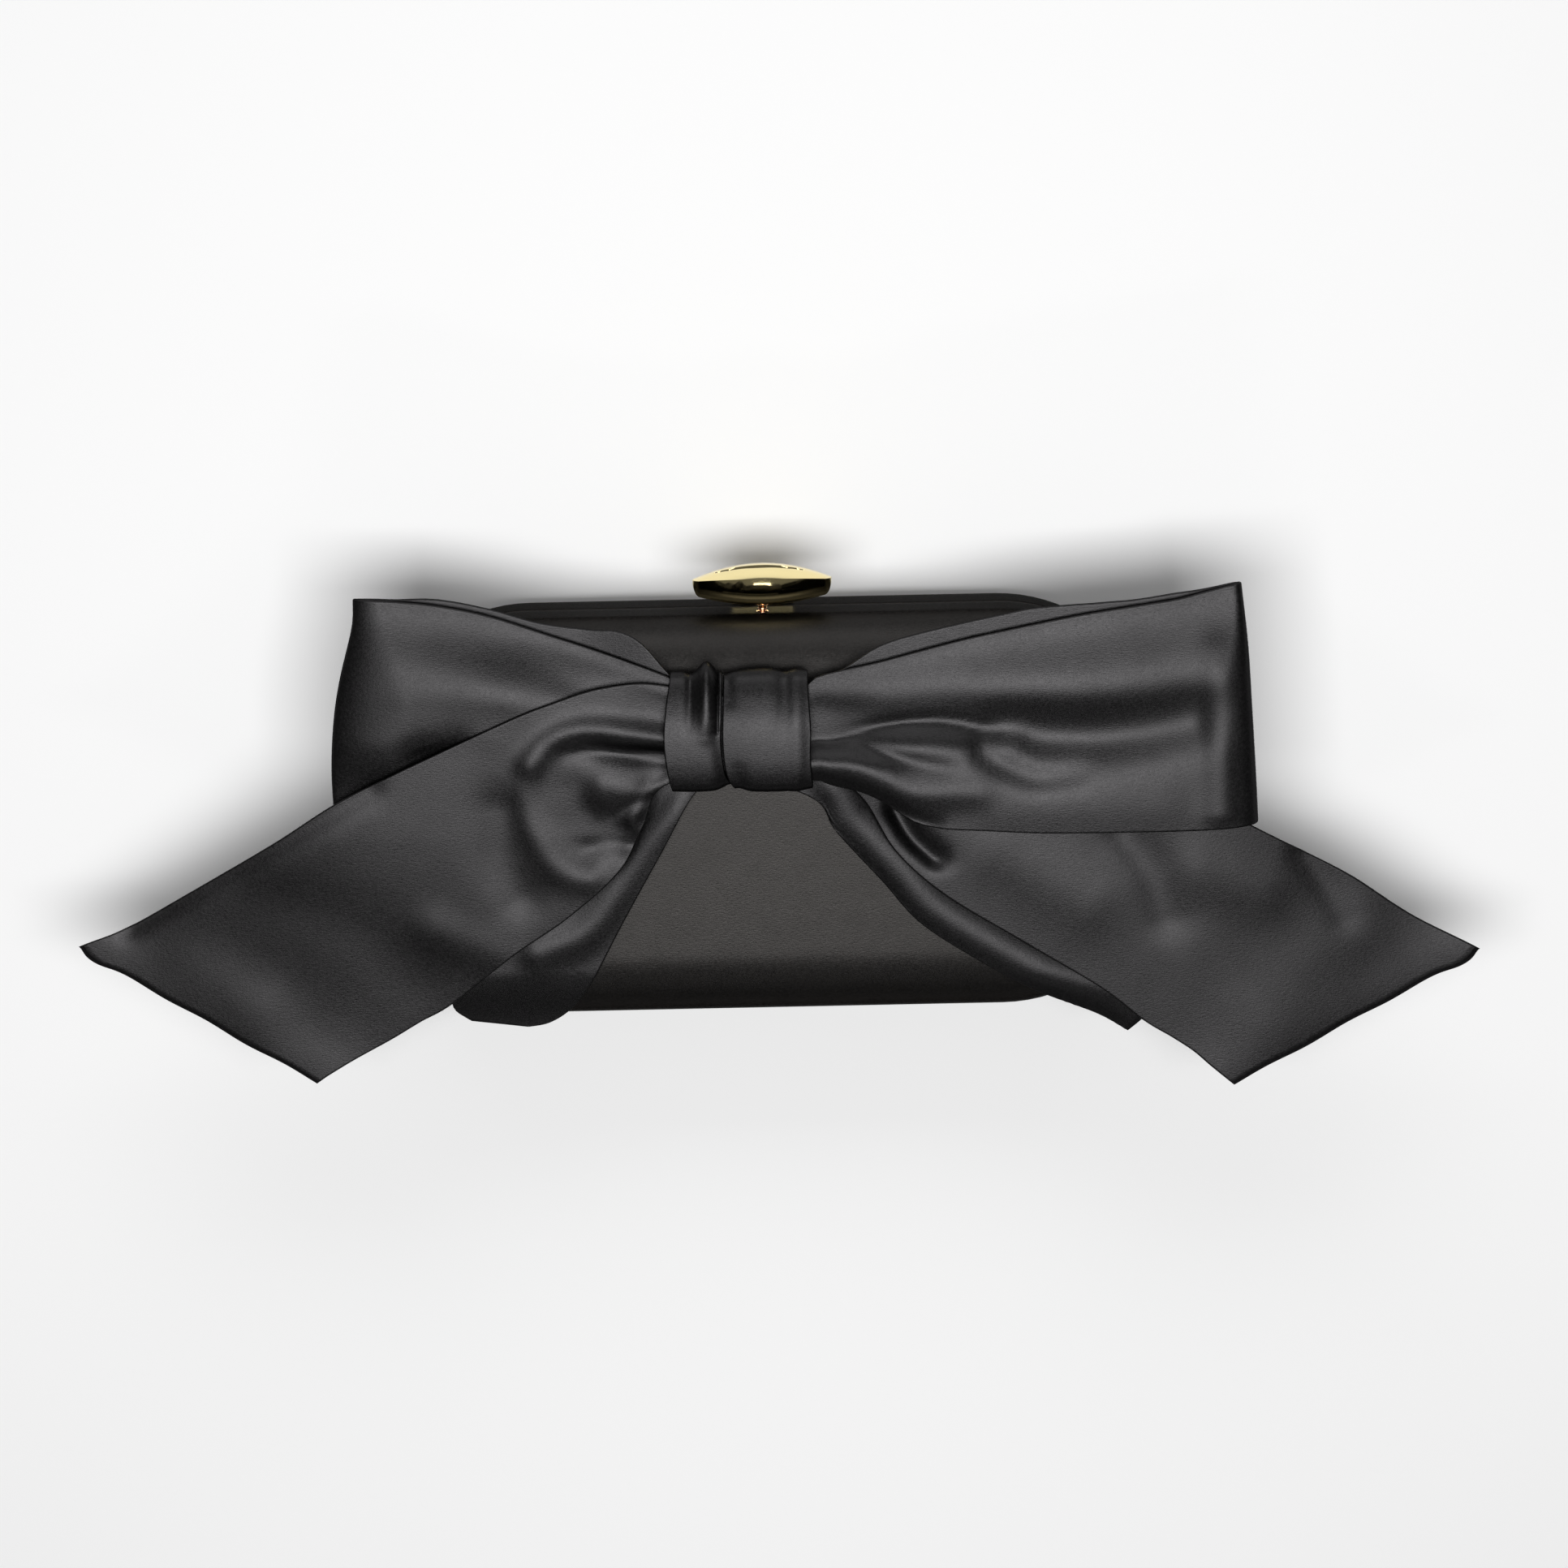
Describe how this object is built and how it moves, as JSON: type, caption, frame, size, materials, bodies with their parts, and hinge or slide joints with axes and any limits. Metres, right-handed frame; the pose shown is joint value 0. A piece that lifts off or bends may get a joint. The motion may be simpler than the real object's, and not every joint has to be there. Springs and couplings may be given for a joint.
{
  "type": "clutch purse",
  "caption": "Satin-covered hinged box clutch with a large ribbon bow on its front, a lever clasp on the top edge and a lined interior.",
  "frame": {"origin": "middle of the flat back face, which rests on the surface below", "axes": "+Z out of the front face, +Y towards the clasp on the top edge, +X to the right along the long side"},
  "size_m": [0.364, 0.1363, 0.0585],
  "materials": {
    "black_satin": "satin",
    "ribbon_satin": "satin",
    "lining_satin": "soft satin",
    "case_board": "matte",
    "wadding": "matte",
    "blackened_steel": "satin",
    "bright_steel": "polished",
    "pale_gold": "polished plating",
    "rose_gold": "polished plating"
  },
  "bodies": {
    "case_back": {"back_satin_cover": "black_satin", "back_padding": "wadding", "back_shell": "case_board", "back_frame": "blackened_steel", "back_lining": "lining_satin", "hinge_leaf_back": "blackened_steel", "hinge_pin": "bright_steel", "hinge_rivet_back_1": "blackened_steel", "hinge_rivet_back_2": "blackened_steel", "hinge_rivet_back_3": "blackened_steel", "clasp_bracket": "pale_gold", "clasp_pivot_pin": "pale_gold", "clasp_spring": "bright_steel", "clasp_rivet_left": "pale_gold", "clasp_rivet_right": "pale_gold"},
    "case_front": {"front_satin_cover": "black_satin", "front_padding": "wadding", "front_shell": "case_board", "front_frame": "blackened_steel", "front_lining": "lining_satin", "hinge_leaf_front": "blackened_steel", "hinge_rivet_front_1": "blackened_steel", "hinge_rivet_front_2": "blackened_steel", "hinge_rivet_front_3": "blackened_steel", "clasp_stud": "rose_gold", "stud_washer": "blackened_steel", "bow_base": "case_board", "left_under_loop": "ribbon_satin", "right_under_loop": "ribbon_satin", "left_loop": "ribbon_satin", "right_loop": "ribbon_satin", "left_tail": "ribbon_satin", "right_tail": "ribbon_satin", "knot_narrow_wrap": "ribbon_satin", "knot_wide_wrap": "ribbon_satin"},
    "clasp": {"clasp_lozenge": "pale_gold"}
  },
  "joints": [
    {"name": "lid_hinge", "type": "hinge", "parent": "case_back", "child": "case_front", "pos_m": [0, -0.0545, 0.022], "axis": [1, 0, 0], "range_deg": [0, 80]},
    {"name": "clasp_lever", "type": "hinge", "parent": "case_back", "child": "clasp", "pos_m": [0, 0.0564, 0.0158], "axis": [-1, 0, 0], "range_deg": [0, 30], "stiffness_Nm_per_rad": 0.02, "springref_deg": -20.05}
  ]
}
